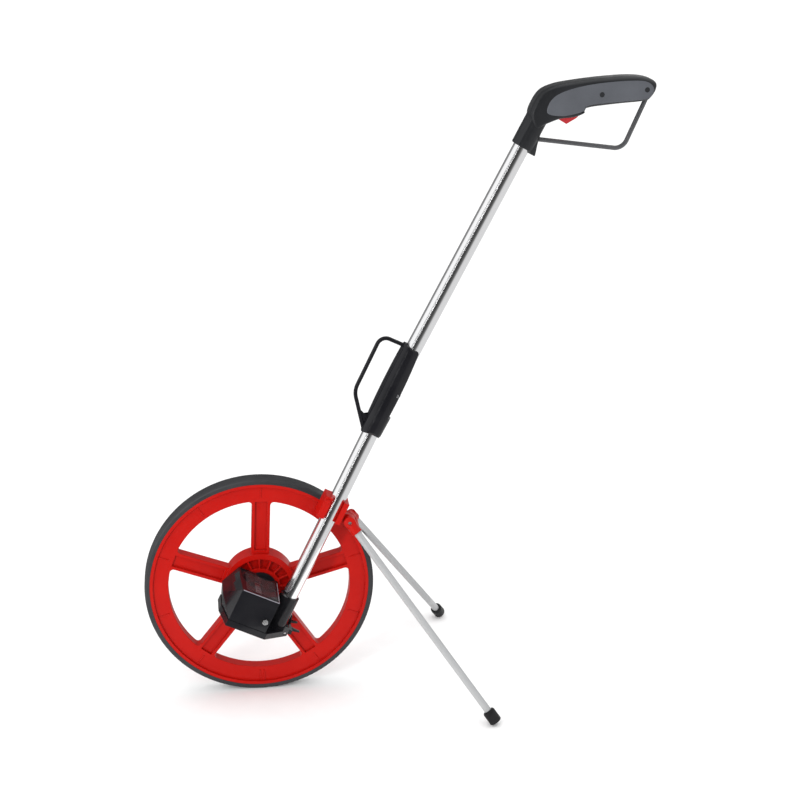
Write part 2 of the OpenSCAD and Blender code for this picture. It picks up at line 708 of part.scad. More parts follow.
module handle_screws() color(black) at_handle() for (at = handle_screw_at) {
    bar_y(at, pole_y - handle_w / 2 + 2, pole_y + 8, 1.4);
    bar_y(at, pole_y - handle_w / 2 + 1, pole_y - handle_w / 2 + 3, 2.9);
}

guard_r = 3;
guard_points = [[22, 9.3], [133, -5.5], [161.5, 60]];
guard_bends = [16];

module hand_guard() color(black) translate([0, pole_y, 0]) at_handle()
    bent_rod(guard_points, guard_bends, guard_r);

module trigger() color("red") at_handle() difference() {
    union() {
        bar_y(trigger_at, pole_y - 4, pole_y + 4, 4);
        plate_y(pole_y - 4, pole_y + 4) polygon([[33, 49], [33, 43], [50, 33], [57, 28.7], [70, 36],
            [74, 40], [70, 44], [40, 48]]);
        plate_y(pole_y - 3, pole_y + 3) polygon([[33, 49], [33, 43], [26, 44.5], [23, 47], [26, 49]]);
    }
    bar_y(trigger_at, pole_y - 10, pole_y + 10, 1.5 + pin_fit);
}

module trigger_pin() color(steel) at_handle() bar_y(trigger_at, pole_y - 8.5, pole_y + 8.5, 1.5);

module trigger_spring() color(steel) at_handle() translate([64, pole_y, 46.4]) {
    for (i = [0 : 5]) translate([0, 0, i * 2.6]) rotate_extrude($fn = 32)
        translate([2.6, 0]) circle(d = 0.8, $fn = 13);
    translate([2.4, -0.2, 0]) cube([0.4, 0.4, 13]);
}

wheel();
tyre();
near_bush();
far_bush();
drive_gear();
axle_bolt();
axle_washer();
axle_spacer();
base_bracket();
counter_housing();
counter_window();
housing_screws();
drum_shaft();
counter_gear();
drum_tenths();
drum_ones();
drum_tens();
drum_hundreds();
drum_thousands();
reset_button();
reset_spring();
brake_lever();
brake_pad();
brake_pin();
lower_tube();
lower_knuckle();
hinge_pin();
grip_sleeve();
stand_bracket();
bracket_screw();
yoke();
yoke_pin();
near_leg();
far_leg();
near_foot();
far_foot();
lower_rod();
upper_rod();
upper_tube();
upper_knuckle();
handle_near();
handle_far();
grip_near();
grip_far();
hand_guard();
trigger();
trigger_pin();
trigger_spring();
handle_screws();
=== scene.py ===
"""Measuring wheel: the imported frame, its finishes, the shaped covers, soft light and the camera."""
import json
import math

import bmesh
import bpy
from mathutils import Matrix, Vector

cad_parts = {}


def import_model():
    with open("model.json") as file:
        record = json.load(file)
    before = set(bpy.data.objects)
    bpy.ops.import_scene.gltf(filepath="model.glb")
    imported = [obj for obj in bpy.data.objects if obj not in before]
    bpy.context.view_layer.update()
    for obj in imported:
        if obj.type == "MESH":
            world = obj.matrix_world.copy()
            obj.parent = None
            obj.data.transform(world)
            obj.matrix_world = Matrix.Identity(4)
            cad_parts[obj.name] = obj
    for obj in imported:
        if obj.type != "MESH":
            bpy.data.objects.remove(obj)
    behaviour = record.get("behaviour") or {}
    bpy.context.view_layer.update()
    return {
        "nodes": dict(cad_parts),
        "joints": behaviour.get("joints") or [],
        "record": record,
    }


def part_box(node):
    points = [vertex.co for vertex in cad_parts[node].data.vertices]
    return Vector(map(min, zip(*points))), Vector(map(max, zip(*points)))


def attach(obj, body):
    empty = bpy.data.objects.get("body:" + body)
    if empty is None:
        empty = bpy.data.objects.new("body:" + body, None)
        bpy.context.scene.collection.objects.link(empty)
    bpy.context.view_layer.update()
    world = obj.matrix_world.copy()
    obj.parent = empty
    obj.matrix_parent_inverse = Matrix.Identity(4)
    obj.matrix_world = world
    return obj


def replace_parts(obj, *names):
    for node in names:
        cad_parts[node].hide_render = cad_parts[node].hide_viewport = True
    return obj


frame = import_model()
nodes = frame["nodes"]
scene = bpy.context.scene

MM = 0.001
Y = Vector((0, 1, 0))
joint = {j["name"]: j for j in frame["joints"]}


def middle(node):
    low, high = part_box(node)
    return (low + high) / 2


# Two axes of the leaning pole: UP runs along the lower tube, BACK is square to it
AXLE = Vector(joint["wheel_spin"]["pos_m"])
UP = -Vector(joint["lower_rod_push"]["axis"])
BACK = Y.cross(UP)
UPPER_UP = -Vector(joint["upper_rod_push"]["axis"])
HINGE = Vector(joint["pole_fold"]["pos_m"])
POLE_Y = middle("lower_tube").y

# Places on the pole in its own axes, in millimetres: a is square to it and u runs along it
POLE_A = 36
HINGE_U = 340
HINGE_BEHIND = 7
TUBE_R, TUBE_BORE_R = 11, 9.9
LOWER_TUBE_ENDS = (-27, 322)
HANDLE_U = 703.5
UPPER_TUBE_ENDS = (358, HANDLE_U + 42)

# The handle's outline is drawn about this corner; the trigger pin has a place in it
TRIGGER_AT = (35, 46)
HANDLE = middle("trigger_pin") - MM * Vector((TRIGGER_AT[0], 0, TRIGGER_AT[1]))


def pole(a, u, y=0.0):
    """Point in the pole's own axes, in millimetres from the axle; y is measured from the pole's middle."""
    return Vector((AXLE.x, POLE_Y + MM * y, AXLE.z)) + MM * (BACK * a + UP * u)


def upper(a, u, y=0.0):
    """The same for the upper tube, which leans back a little more from the hinge on."""
    across = Y.cross(UPPER_UP)
    start = Vector((HINGE.x, POLE_Y + MM * y, HINGE.z))
    return start + MM * (across * (a - POLE_A - HINGE_BEHIND) + UPPER_UP * (u - HINGE_U))


def handle(x, z, y=0.0):
    """Point in the handle's outline, in millimetres."""
    return Vector((HANDLE.x + MM * x, POLE_Y + MM * y, HANDLE.z + MM * z))


# ---- Camera ----

CAMERA_AZIMUTH, CAMERA_ELEVATION = -7.22, 18.83
CAMERA_DISTANCE = 2.3
CAMERA_TARGET = Vector((0.1981, 0.0, 0.4205))
LENS, SENSOR = 75.98, 36

azimuth, elevation = math.radians(CAMERA_AZIMUTH), math.radians(CAMERA_ELEVATION)
TO_CAMERA = Vector((math.sin(azimuth) * math.cos(elevation),
                    -math.cos(azimuth) * math.cos(elevation), math.sin(elevation)))
camera = bpy.data.objects.new("camera", bpy.data.cameras.new("camera"))
scene.collection.objects.link(camera)
camera.data.lens = LENS
camera.data.sensor_width = SENSOR
camera.location = CAMERA_TARGET + TO_CAMERA * CAMERA_DISTANCE
camera.rotation_mode = "QUATERNION"
camera.rotation_quaternion = (-TO_CAMERA).to_track_quat("-Z", "Y")
scene.camera = camera
scene.view_settings.view_transform = "Standard"

# ---- Materials ----

NOISE_USED = (0.35, 0.65)   # the part of a noise's values that spans the full change
STREAK = 0.03               # how far a noise is squeezed along its axis, which draws it out into streaks
PLASTIC_PATCH, PLASTIC_SHEEN, PLASTIC_GRAIN_DEPTH = 40, 9, 0.25   # millimetres


class Finish:
    """A procedural material built up from a Principled shader, with softened edges."""

    def __init__(self, name, colour, roughness, metallic=0.0, coat=0.0, edge=0.6):
        self.material = bpy.data.materials.new(name)
        self.material.use_nodes = True
        self.tree = self.material.node_tree
        self.shader = self.tree.nodes["Principled BSDF"]
        self.shader.inputs["Base Color"].default_value = (*colour, 1)
        self.shader.inputs["Roughness"].default_value = roughness
        self.shader.inputs["Metallic"].default_value = metallic
        self.shader.inputs["Coat Weight"].default_value = coat
        self.colour = colour
        self.normal = None
        if edge:
            soft = self.node("ShaderNodeBevel", Radius=edge * MM)
            soft.samples = 6
            self.set_normal(soft.outputs["Normal"])

    def node(self, kind, **inputs):
        made = self.tree.nodes.new(kind)
        for key, value in inputs.items():
            made.inputs[key.replace("_", " ")].default_value = value
        return made

    def set_normal(self, output):
        self.normal = output
        self.tree.links.new(output, self.shader.inputs["Normal"])

    def noise(self, size, detail=3.0, along=None):
        """Noise whose features are about "size" millimetres; "along" stretches it along an axis."""
        place = self.node("ShaderNodeTexCoord")
        made = self.node("ShaderNodeTexNoise", Scale=1 / (MM * size), Detail=detail)
        source = place.outputs["Object"]
        if along is not None:
            mapping = self.node("ShaderNodeMapping")
            mapping.inputs["Rotation"].default_value = along.rotation_difference(
                Vector((0, 0, 1))).to_euler()
            squeeze = self.node("ShaderNodeMapping")
            squeeze.inputs["Scale"].default_value = (1, 1, STREAK)
            self.tree.links.new(source, mapping.inputs["Vector"])
            self.tree.links.new(mapping.outputs["Vector"], squeeze.inputs["Vector"])
            source = squeeze.outputs["Vector"]
        self.tree.links.new(source, made.inputs["Vector"])
        return made.outputs["Fac"]

    def between(self, fac, low, high):
        """The noise spread over low to high."""
        made = self.node("ShaderNodeMapRange", From_Min=NOISE_USED[0], From_Max=NOISE_USED[1],
                         To_Min=low, To_Max=high)
        self.tree.links.new(fac, made.inputs["Value"])
        return made.outputs["Result"]

    def colours(self, fac, other):
        mix = self.node("ShaderNodeMix")
        mix.data_type = "RGBA"
        mix.inputs["A"].default_value = (*self.colour, 1)
        mix.inputs["B"].default_value = (*other, 1)
        self.tree.links.new(self.between(fac, 0, 1), mix.inputs["Factor"])
        self.tree.links.new(mix.outputs["Result"], self.shader.inputs["Base Color"])
        return self

    def roughness(self, fac, low, high):
        self.tree.links.new(self.between(fac, low, high), self.shader.inputs["Roughness"])
        return self

    def bump(self, fac, strength, depth):
        made = self.node("ShaderNodeBump", Strength=strength, Distance=depth * MM)
        self.tree.links.new(fac, made.inputs["Height"])
        if self.normal is not None:
            self.tree.links.new(self.normal, made.inputs["Normal"])
        self.set_normal(made.outputs["Normal"])
        return self


def plastic(name, colour, other, roughness, coat=0.0, grain=1.0, strength=0.1, edge=0.6, shine=0.4):
    """Moulded plastic or rubber: patches of two close colours, uneven sheen and a fine grain."""
    m = Finish(name, colour, roughness[0], coat=coat, edge=edge)
    m.shader.inputs["Specular IOR Level"].default_value = shine
    m.colours(m.noise(PLASTIC_PATCH, 4), other)
    m.roughness(m.noise(PLASTIC_SHEEN, 5), *roughness)
    m.bump(m.noise(grain, 2), strength, PLASTIC_GRAIN_DEPTH)
    return m


def chrome():
    """Bright drawn tube: faint streaks along the pole and nothing that breaks its reflections."""
    m = Finish("chrome_tube", (0.95, 0.95, 0.96), 0.12, metallic=1.0, edge=0)
    m.roughness(m.noise(6, 4, along=UP), 0.10, 0.13)
    m.bump(m.noise(30, 1, along=UP), 0.012, 0.1)
    return m


def steel():
    m = Finish("steel", (0.60, 0.60, 0.62), 0.3, metallic=1.0, edge=0.25)
    m.roughness(m.noise(2, 4), 0.22, 0.4)
    m.bump(m.noise(0.8, 3), 0.1, 0.1)
    return m


def aluminium():
    m = Finish("leg_aluminium", (0.43, 0.435, 0.44), 0.42, metallic=0.25, edge=0)
    m.roughness(m.noise(4, 4), 0.36, 0.5)
    m.bump(m.noise(1.2, 3), 0.08, 0.15)
    return m


def tinted_glass():
    m = Finish("window_glass", (0.44, 0.39, 0.41), 0.04, edge=0.5)
    m.shader.inputs["Transmission Weight"].default_value = 0.94
    m.shader.inputs["IOR"].default_value = 1.16
    m.roughness(m.noise(8, 4), 0.02, 0.07)
    return m


GLOSS_BLACK = ((0.007, 0.007, 0.009), (0.012, 0.012, 0.014))
FINISH = {
    "red_plastic": plastic("red_plastic", (0.44, 0.005, 0.002), (0.41, 0.004, 0.002), (0.28, 0.34),
                           strength=0.03, edge=1.0, shine=0.14),
    "tyre_rubber": plastic("tyre_rubber", (0.022, 0.022, 0.025), (0.030, 0.031, 0.034), (0.46, 0.62),
                           grain=0.9, strength=0.2, shine=0.35),
    "bush_plastic": plastic("bush_plastic", *GLOSS_BLACK, (0.35, 0.5)),
    "gear_plastic": plastic("gear_plastic", (0.72, 0.70, 0.64), (0.66, 0.64, 0.58), (0.4, 0.55)),
    "steel": steel(),
    "chrome_tube": chrome(),
    "black_plastic": plastic("black_plastic", *GLOSS_BLACK, (0.08, 0.14), coat=0.06, grain=3,
                             strength=0.03, edge=0.7, shine=0.22),
    "window_glass": tinted_glass(),
    "drum_white": plastic("drum_white", (0.74, 0.70, 0.68), (0.68, 0.64, 0.62), (0.4, 0.55),
                          edge=0.2),
    "drum_red": plastic("drum_red", (0.5, 0.02, 0.02), (0.42, 0.015, 0.015), (0.4, 0.55), edge=0.2),
    "pad_rubber": plastic("pad_rubber", (0.02, 0.02, 0.02), (0.03, 0.03, 0.03), (0.6, 0.75)),
    "handle_shell": plastic("handle_shell", (0.014, 0.015, 0.017), (0.020, 0.021, 0.024), (0.3, 0.42),
                            grain=0.7, strength=0.15, shine=0.26),
    "handle_grip": plastic("handle_grip", (0.092, 0.098, 0.113), (0.078, 0.083, 0.096), (0.42, 0.58),
                           grain=0.6, strength=0.22),
    "trigger_red": plastic("trigger_red", (0.55, 0.022, 0.03), (0.48, 0.018, 0.025), (0.3, 0.42)),
    "leg_aluminium": aluminium(),
    "foot_rubber": plastic("foot_rubber", (0.008, 0.008, 0.009), (0.014, 0.014, 0.015), (0.4, 0.58),
                           grain=0.9, strength=0.2, shine=0.2),
}
# Three finishes that no CAD node has, each for a few added pieces
PAINTED_ROD = plastic("painted_rod", (0.045, 0.046, 0.050), (0.060, 0.061, 0.066), (0.2, 0.3),
                      coat=0.5, edge=0, shine=0.6)
INK = plastic("digit_ink", (0.015, 0.015, 0.017), (0.02, 0.02, 0.022), (0.4, 0.5), edge=0)
# Pale grey finish that paints a highlight onto the counter top's front and right edges
PAINTED_EDGE_HIGHLIGHT = plastic("painted_edge_highlight", (0.30, 0.29, 0.33), (0.22, 0.21, 0.24), (0.25, 0.4), edge=0)

for part in frame["record"]["subparts"]:
    cad = nodes[part["node"]]
    cad.data.materials.clear()
    cad.data.materials.append(FINISH[part["material_slot"]].material)

# ---- Mesh helpers ----

SHARP_DEGREES = 40
CURVE_STEPS = 5
BEND_STEPS = 10
ROD_SIDES = 20
TUBE_SIDES = 144


def piece(name, bm, body, slot, smooth=SHARP_DEGREES):
    """Turns a bmesh into a finished piece that rides on a body."""
    bmesh.ops.remove_doubles(bm, verts=bm.verts, dist=1e-6)
    bmesh.ops.recalc_face_normals(bm, faces=bm.faces)
    mesh = bpy.data.meshes.new(name)
    bm.to_mesh(mesh)
    bm.free()
    mesh.polygons.foreach_set("use_smooth", [True] * len(mesh.polygons))
    mesh.set_sharp_from_angle(angle=math.radians(smooth))
    made = bpy.data.objects.new(name, mesh)
    scene.collection.objects.link(made)
    mesh.materials.append(FINISH[slot].material)
    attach(made, body)
    return made


def join_rings(bm, rings, closed=True):
    """Side faces between rings of points; returns the rings' vertices."""
    made = [[bm.verts.new(p) for p in ring] for ring in rings]
    count = len(made[0])
    for low, high in zip(made, made[1:]):
        for i in range(count if closed else count - 1):
            k = (i + 1) % count
            bm.faces.new((low[i], low[k], high[k], high[i]))
    return made


def last_to_first(bm, made):
    """Faces from the last ring back to the first, which close a hollow shape."""
    count = len(made[0])
    for i in range(count):
        k = (i + 1) % count
        bm.faces.new((made[-1][i], made[-1][k], made[0][k], made[0][i]))


def cap(bm, ring):
    """A flat end on a ring of vertices."""
    face = bm.faces.new(ring)
    bmesh.ops.triangulate(bm, faces=[face])


def smooth_outline(points):
    """Catmull-Rom curve through a closed list of points."""
    count, out = len(points), []
    p = [Vector(q) for q in points]
    for i in range(count):
        a, b, c, d = p[i - 1], p[i], p[(i + 1) % count], p[(i + 2) % count]
        for s in range(CURVE_STEPS):
            t = s / CURVE_STEPS
            out.append(0.5 * (2 * b + (c - a) * t + (2 * a - 5 * b + 4 * c - d) * t * t
                              + (3 * b - a - 3 * c + d) * t ** 3))
    return out


def inset(points, amount):
    """The outline moved inwards by an amount, for one that runs clockwise or anticlockwise."""
    count = len(points)
    area = sum(points[i - 1].cross(points[i]) for i in range(count))
    sign = 1 if area > 0 else -1
    out = []
    for i in range(count):
        before = (points[i] - points[i - 1]).normalized()
        after = (points[(i + 1) % count] - points[i]).normalized()
        way = (before + after).normalized()
        normal = Vector((-way.y, way.x)) * sign
        stretch = 1 / max(way.dot(after), 0.5)
        out.append(points[i] + normal * amount * stretch)
    return out


def cushion(name, outline, place, base, face, round_in, round_deep, body, slot, rows=6):
    """Closed plate from y = base to y = face, whose edge at the face is rounded off."""
    bm = bmesh.new()
    side = 1 if face > base else -1
    levels = [(0, base), (0, face - side * round_deep)]
    for k in range(1, rows + 1):
        turn = math.pi / 2 * k / rows
        levels.append((round_in * (1 - math.cos(turn)),
                       face - side * round_deep * (1 - math.sin(turn))))
    rings = [[place(q.x, q.y, y) for q in inset(outline, amount)] for amount, y in levels]
    made = join_rings(bm, rings)
    cap(bm, made[0])
    cap(bm, made[-1])
    return piece(name, bm, body, slot)


def rounded_path(points, bends):
    """Corners of a path in a plane replaced by arcs of the given radii."""
    p = [Vector(q) for q in points]
    out = [p[0]]
    for i, radius in enumerate(bends, start=1):
        way, after = (p[i] - p[i - 1]).normalized(), (p[i + 1] - p[i]).normalized()
        turn = math.atan2(way.cross(after), way.dot(after))
        start = p[i] - way * radius * math.tan(abs(turn) / 2)
        across = Vector((-way.y, way.x)) * math.copysign(1, turn)
        for k in range(BEND_STEPS + 1):
            t = abs(turn) * k / BEND_STEPS
            out.append(start + radius * (across * (1 - math.cos(t)) + way * math.sin(t)))
    out.append(p[-1])
    return out


def rod(name, path, place, radius, body, slot, flat=1.0):
    """Round or slightly flattened rod along a path in the (x, z) or (a, u) plane."""
    bm = bmesh.new()
    rings = []
    for i, q in enumerate(path):
        before = (q - path[i - 1]).normalized() if i else (path[1] - q).normalized()
        after = (path[i + 1] - q).normalized() if i < len(path) - 1 else before
        way = (before + after).normalized()
        out = Vector((-way.y, way.x)) / max(way.dot(after), 0.5)
        rings.append([place(*(q + out * radius * flat * math.cos(t)), radius * math.sin(t))
                      for t in full_turn(ROD_SIDES)])
    made = join_rings(bm, rings)
    cap(bm, made[0])
    cap(bm, made[-1])
    return piece(name, bm, body, slot)


def full_turn(count):
    """Evenly spaced angles round a circle."""
    return [2 * math.pi * k / count for k in range(count)]


def add_box(bm, corners):
    """Faces of a box between eight corners, lower four first."""
    v = [bm.verts.new(q) for q in corners]
    for ids in ((3, 2, 1, 0), (4, 5, 6, 7), (0, 1, 5, 4), (1, 2, 6, 5), (2, 3, 7, 6), (3, 0, 4, 7)):
        bm.faces.new([v[i] for i in ids])


def cylinder_along(bm, start, end, radius, sides=48):
    """Closed cylinder from one point to another; lengths in metres."""
    way = end - start
    turn = Vector((0, 0, 1)).rotation_difference(way).to_matrix().to_4x4()
    bmesh.ops.create_cone(bm, cap_ends=True, segments=sides, radius1=radius, radius2=radius,
                          depth=way.length, matrix=Matrix.Translation((start + end) / 2) @ turn)


def applied_mesh(source):
    """Mesh of an object with its modifiers or text shape applied."""
    bpy.context.view_layer.update()
    graph = bpy.context.evaluated_depsgraph_get()
    return bpy.data.meshes.new_from_object(source.evaluated_get(graph))


def cut(made, build):
    """Takes the shapes that build(bm) makes out of a piece, for good."""
    bm = bmesh.new()
    build(bm)
    bmesh.ops.recalc_face_normals(bm, faces=bm.faces)
    mesh = bpy.data.meshes.new("cutter")
    bm.to_mesh(mesh)
    bm.free()
    cutter = bpy.data.objects.new("cutter", mesh)
    scene.collection.objects.link(cutter)
    step = made.modifiers.new("cut", "BOOLEAN")
    step.operation, step.solver, step.object = "DIFFERENCE", "EXACT", cutter
    result = applied_mesh(made)
    made.modifiers.clear()
    made.data = result
    bpy.data.objects.remove(cutter)
    result.set_sharp_from_angle(angle=math.radians(SHARP_DEGREES))


# ---- Handle ----

HANDLE_W = 32
HANDLE_OUTLINE = smooth_outline(
    [(8, 40), (11, 54), (22, 71), (39, 79), (61, 83), (97, 87), (134, 89), (157, 87), (170, 81),
     (171, 72), (165, 62), (156, 57), (120, 54), (82, 49.5), (79, 43), (66, 38), (47, 36), (30, 30),
     (16, 24)])
GRIP_OUTLINE = smooth_outline(
    [(29.5, 44.5), (31, 57), (40, 67), (56, 74), (80, 79.5), (110, 83), (140, 84.3), (158, 82.3),
     (166.5, 75), (165, 66), (157, 60), (120, 57), (84, 53.5), (77, 46.5), (64, 42.5), (46, 40.5)])
HALVES_GAP = 0.15
GRIP_DEPTH, GRIP_PROUD = 2.5, 0.4
SCREWS_AT = ((24, 57), (99.5, 67), (158, 72))
SCREW_HOLE_R = 3.3
GUARD_PATH, GUARD_BENDS, GUARD_R = [(22, 9.3), (133, -5.5), (161.5, 60)], [16], 3


def handle_shells():
    """Both halves of the handle with their inlaid grips and the screw holes in these."""
    half = HANDLE_W / 2
    for side, name in ((-1, "near"), (1, "far")):
        shell = cushion("handle_shell_" + name, HANDLE_OUTLINE, handle, HALVES_GAP * side,
                        half * side, 5, 9, "upper", "handle_shell", rows=8)
        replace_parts(shell, "handle_" + name)
        panel = cushion("grip_panel_" + name, GRIP_OUTLINE, handle, (half - GRIP_DEPTH) * side,
                        (half + GRIP_PROUD) * side, 1.6, 1.2, "upper", "handle_grip")

        def screw_holes(bm):
            for x, z in SCREWS_AT:
                cylinder_along(bm, handle(x, z, (half - 3) * side), handle(x, z, (half + 3) * side),
                               SCREW_HOLE_R * MM)
        cut(panel, screw_holes)
        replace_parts(panel, "grip_" + name)


def handle_socket():
    """Collar round the tube: a tapering fin at the rear and a rib down each side of the front."""
    bm = bmesh.new()
    radius, bore_r, edge, top = 14.4, 11.1, 0.8, HANDLE_U + 44
    rises, fins = (edge, 6, 13, 20, 28), (7.0, 5.6, 3.4, 1.6, 0)
    fin_width, rib_turn, rib_width = 17, 122, 7
    rings = [[] for _ in range(len(rises) + 4)]
    for t in full_turn(120):
        to_rear, to_side = math.cos(t), math.sin(t)
        angle = math.degrees(math.acos(to_rear))
        low = HANDLE_U + 0.5 - 0.5 * to_rear - 3 * max(0, (to_rear - 0.7) / 0.3)
        rib = math.exp(-((angle - rib_turn) / rib_width) ** 2)
        at_rear = math.exp(-(angle / fin_width) ** 4)
        levels = [(bore_r, top), (bore_r, low), (radius - edge + fins[0] * at_rear, low)]
        levels += [(radius + rib + fin * at_rear, low + rise) for fin, rise in zip(fins, rises)]
        levels.append((radius + rib, top))
        for ring, (r, u) in zip(rings, levels):
            ring.append(upper(POLE_A + r * to_rear, u, r * to_side))
    last_to_first(bm, join_rings(bm, rings))
    piece("handle_socket", bm, "upper", "handle_shell")


def hand_guard():
    """Painted rod under the handle, bent once."""
    path = rounded_path(GUARD_PATH, GUARD_BENDS)
    guard = rod("guard_rod", path, handle, GUARD_R, "upper", "handle_shell")
    guard.data.materials[0] = PAINTED_ROD.material
    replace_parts(guard, "hand_guard")


# ---- Pole ----

def pole_tube(name, place, ends, body):
    """Tube of the pole with even facets, so that its reflections run straight."""
    bm = bmesh.new()
    low, high = ends
    rings = [[place(POLE_A + r * math.cos(t), u, r * math.sin(t)) for t in full_turn(TUBE_SIDES)]
             for r, u in ((TUBE_R, low), (TUBE_R, high), (TUBE_BORE_R, high), (TUBE_BORE_R, low))]
    last_to_first(bm, join_rings(bm, rings))
    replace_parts(piece("pole_" + name, bm, body, "chrome_tube"), name)


# ---- Sleeve and carrying loop ----

SLEEVE_LOW, SLEEVE_L = 275.5, 131
SLEEVE_END_R, SLEEVE_MID_R = 14.4, 16.2
SLEEVE_LIP, SLEEVE_LIP_L, SLEEVE_EARS = 1.2, 2.5, 2.0
SLEEVE_BORE_R, CHANNEL_R, CHANNEL_HALF = 11.1, 11.5, 11.4
CUT_OVER = 9
LOOP_REACH, LOOP_R, LOOP_FLAT, LOOP_BENDS = 45, 3.0, 0.9, [12, 28]


def sleeve_barrel():
    """Barrel round the hinge, with a bore for the lower tube and a channel for the upper one."""
    bm = bmesh.new()
    sides, steps = 64, 40
    rings = []
    for i in range(steps + 1):
        t = i / steps
        swell = SLEEVE_END_R + (SLEEVE_MID_R - SLEEVE_END_R) * (1 - (2 * t - 1) ** 2)
        lip = SLEEVE_LIP * sum(max(0, 1 - from_end * SLEEVE_L / SLEEVE_LIP_L) ** 2
                               for from_end in (t, 1 - t))
        r = swell - lip
        ring = []
        for turn in full_turn(sides):
            ears = SLEEVE_EARS * math.cos(2 * turn) * (2 * t - 1) * abs(2 * t - 1) ** 3
            ring.append(pole(POLE_A + r * math.cos(turn), SLEEVE_LOW + SLEEVE_L * t + ears,
                             r * math.sin(turn)))
        rings.append(ring)
    made = join_rings(bm, rings)
    cap(bm, made[0])
    cap(bm, made[-1])
    barrel = piece("sleeve_barrel", bm, "frame", "black_plastic")

    over_top = SLEEVE_LOW + SLEEVE_L + CUT_OVER

    def rear_channel(bm):
        add_box(bm, [upper(POLE_A + a, u, y) for u in (HINGE_U - 34, over_top)
                     for a, y in ((0, -CHANNEL_HALF), (40, -CHANNEL_HALF), (40, CHANNEL_HALF),
                                  (0, CHANNEL_HALF))])
    cut(barrel, lambda bm: cylinder_along(bm, pole(POLE_A, SLEEVE_LOW - CUT_OVER),
                                          pole(POLE_A, HINGE_U), SLEEVE_BORE_R * MM, 64))
    cut(barrel, lambda bm: cylinder_along(bm, upper(POLE_A, HINGE_U - 30), upper(POLE_A, over_top),
                                          CHANNEL_R * MM, 60))
    cut(barrel, rear_channel)
    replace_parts(barrel, "grip_sleeve")


def carrying_loop():
    """Bent loop on the sleeve's front, with a web where its lower end meets the barrel."""
    low, high = SLEEVE_LOW + 10, SLEEVE_LOW + SLEEVE_L - 2.5
    root, far = POLE_A - SLEEVE_END_R + 3, POLE_A - LOOP_REACH
    path = rounded_path([(root, high), (far, high), (far, low + 35), (root, low - 8)], LOOP_BENDS)
    rod("loop_rod", path, pole, LOOP_R, "frame", "black_plastic", flat=LOOP_FLAT)
    web = [Vector(q) for q in ((root - 1, low - 7), (root - 10, low + 6), (root - 13.5, low + 14),
                               (root - 9, low + 12), (root - 4, low + 13.5), (root - 1, low + 17))]
    for side in (-1, 1):
        cushion("loop_web_" + ("near" if side < 0 else "far"), web, pole, 0, 1.6 * side, 0.8, 0.8,
                "frame", "black_plastic", rows=3)


# ---- Wheel ----

RIB_TURNS = (-91.2, -88.8, 16, 52, 88, 124, 160, 196, 232, 304, 340)
RIB_FROM_R, RIB_TO_R, RIB_FOOT_Y, RIB_TOP_Y, RIB_TAPER = 131, 147, 8.3, 9.3, 0.5


def rim_ribs():
    """Low moulded ribs across both faces of the rim, narrower at the top."""
    bm = bmesh.new()
    for turn in RIB_TURNS:
        way = Vector((math.cos(math.radians(turn)), 0, math.sin(math.radians(turn))))
        across = Y.cross(way)
        for side in (-1, 1):
            corners = []
            for y, trim in ((RIB_FOOT_Y * side, 0), (RIB_TOP_Y * side, RIB_TAPER)):
                start, end, half = RIB_FROM_R + trim, RIB_TO_R - trim, 1 - trim / 2
                corners += [AXLE + MM * (way * r + across * w + Y * y)
                            for r, w in ((start, -half), (end, -half), (end, half), (start, half))]
            add_box(bm, corners)
    piece("rim_ribs", bm, "wheel", "red_plastic")


# ---- Counter ----

DRUMS = ("tenths", "ones", "tens", "hundreds", "thousands")
DIGIT_SIZE, DIGIT_DEPTH, DIGIT_PROUD = 6.256, 0.06, 0.05
BOX_NEAR_Y = -90
BOX_TOP_U, BOX_RIGHT_A = 18.6, 16.4


def digit_mesh(text):
    """Flat glyph of one digit, centred, as a mesh."""
    data = bpy.data.curves.new("digit", "FONT")
    data.body = text
    data.size = DIGIT_SIZE * MM
    data.align_x, data.align_y = "CENTER", "CENTER"
    data.resolution_u = 3
    data.extrude = DIGIT_DEPTH * MM
    shown = bpy.data.objects.new("digit", data)
    scene.collection.objects.link(shown)
    mesh = applied_mesh(shown)
    bpy.data.objects.remove(shown)
    return mesh


def drum_digits():
    """Ten digits bent round each number drum."""
    glyphs = [digit_mesh(str(k)) for k in range(10)]
    for place in DRUMS:
        centre = middle("drum_" + place)
        low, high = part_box("drum_" + place)
        radius = (high.z - low.z) / 2
        bm = bmesh.new()
        for k, glyph in enumerate(glyphs):
            start = len(bm.verts)
            bm.from_mesh(glyph)
            bm.verts.ensure_lookup_table()
            for v in bm.verts[start:]:
                turn = v.co.y / radius - 2 * math.pi * k / 10
                r = radius + v.co.z + DIGIT_PROUD * MM
                v.co = centre + Y * v.co.x + r * (math.cos(turn) * UP - math.sin(turn) * BACK)
        digits = piece("digits_" + place, bm, "drum_" + place, "drum_white")
        digits.data.materials[0] = INK.material


def box_piece(name, corners, body, slot, bevel=0.3):
    """Box between eight corners, lower four first, with bevelled edges."""
    bm = bmesh.new()
    add_box(bm, corners)
    bmesh.ops.recalc_face_normals(bm, faces=bm.faces)
    bmesh.ops.bevel(bm, geom=bm.edges[:], offset=bevel * MM, segments=2, affect="EDGES")
    return piece(name, bm, body, slot, smooth=60)


def pole_box(a, y, u):
    """Eight corners of a box in the pole's axes; y is measured from the wheel's middle plane."""
    flat = -POLE_Y / MM
    return [pole(p, w, q + flat) for w in u for p, q in
            ((a[0], y[0]), (a[1], y[0]), (a[1], y[1]), (a[0], y[1]))]


def number_mask():
    """Black mask under the window, with a slot over the top of the drums."""
    top = (16.75, 17.1)
    for name, a, y in (("front", (-34, -17.5), (-84.5, -24)), ("rear", (-7.5, 14), (-84.5, -24)),
                       ("wheel_side", (-17.5, -7.5), (-46.2, -24))):
        box_piece("number_mask_" + name, pole_box(a, y, top), "frame", "black_plastic", bevel=0.1)


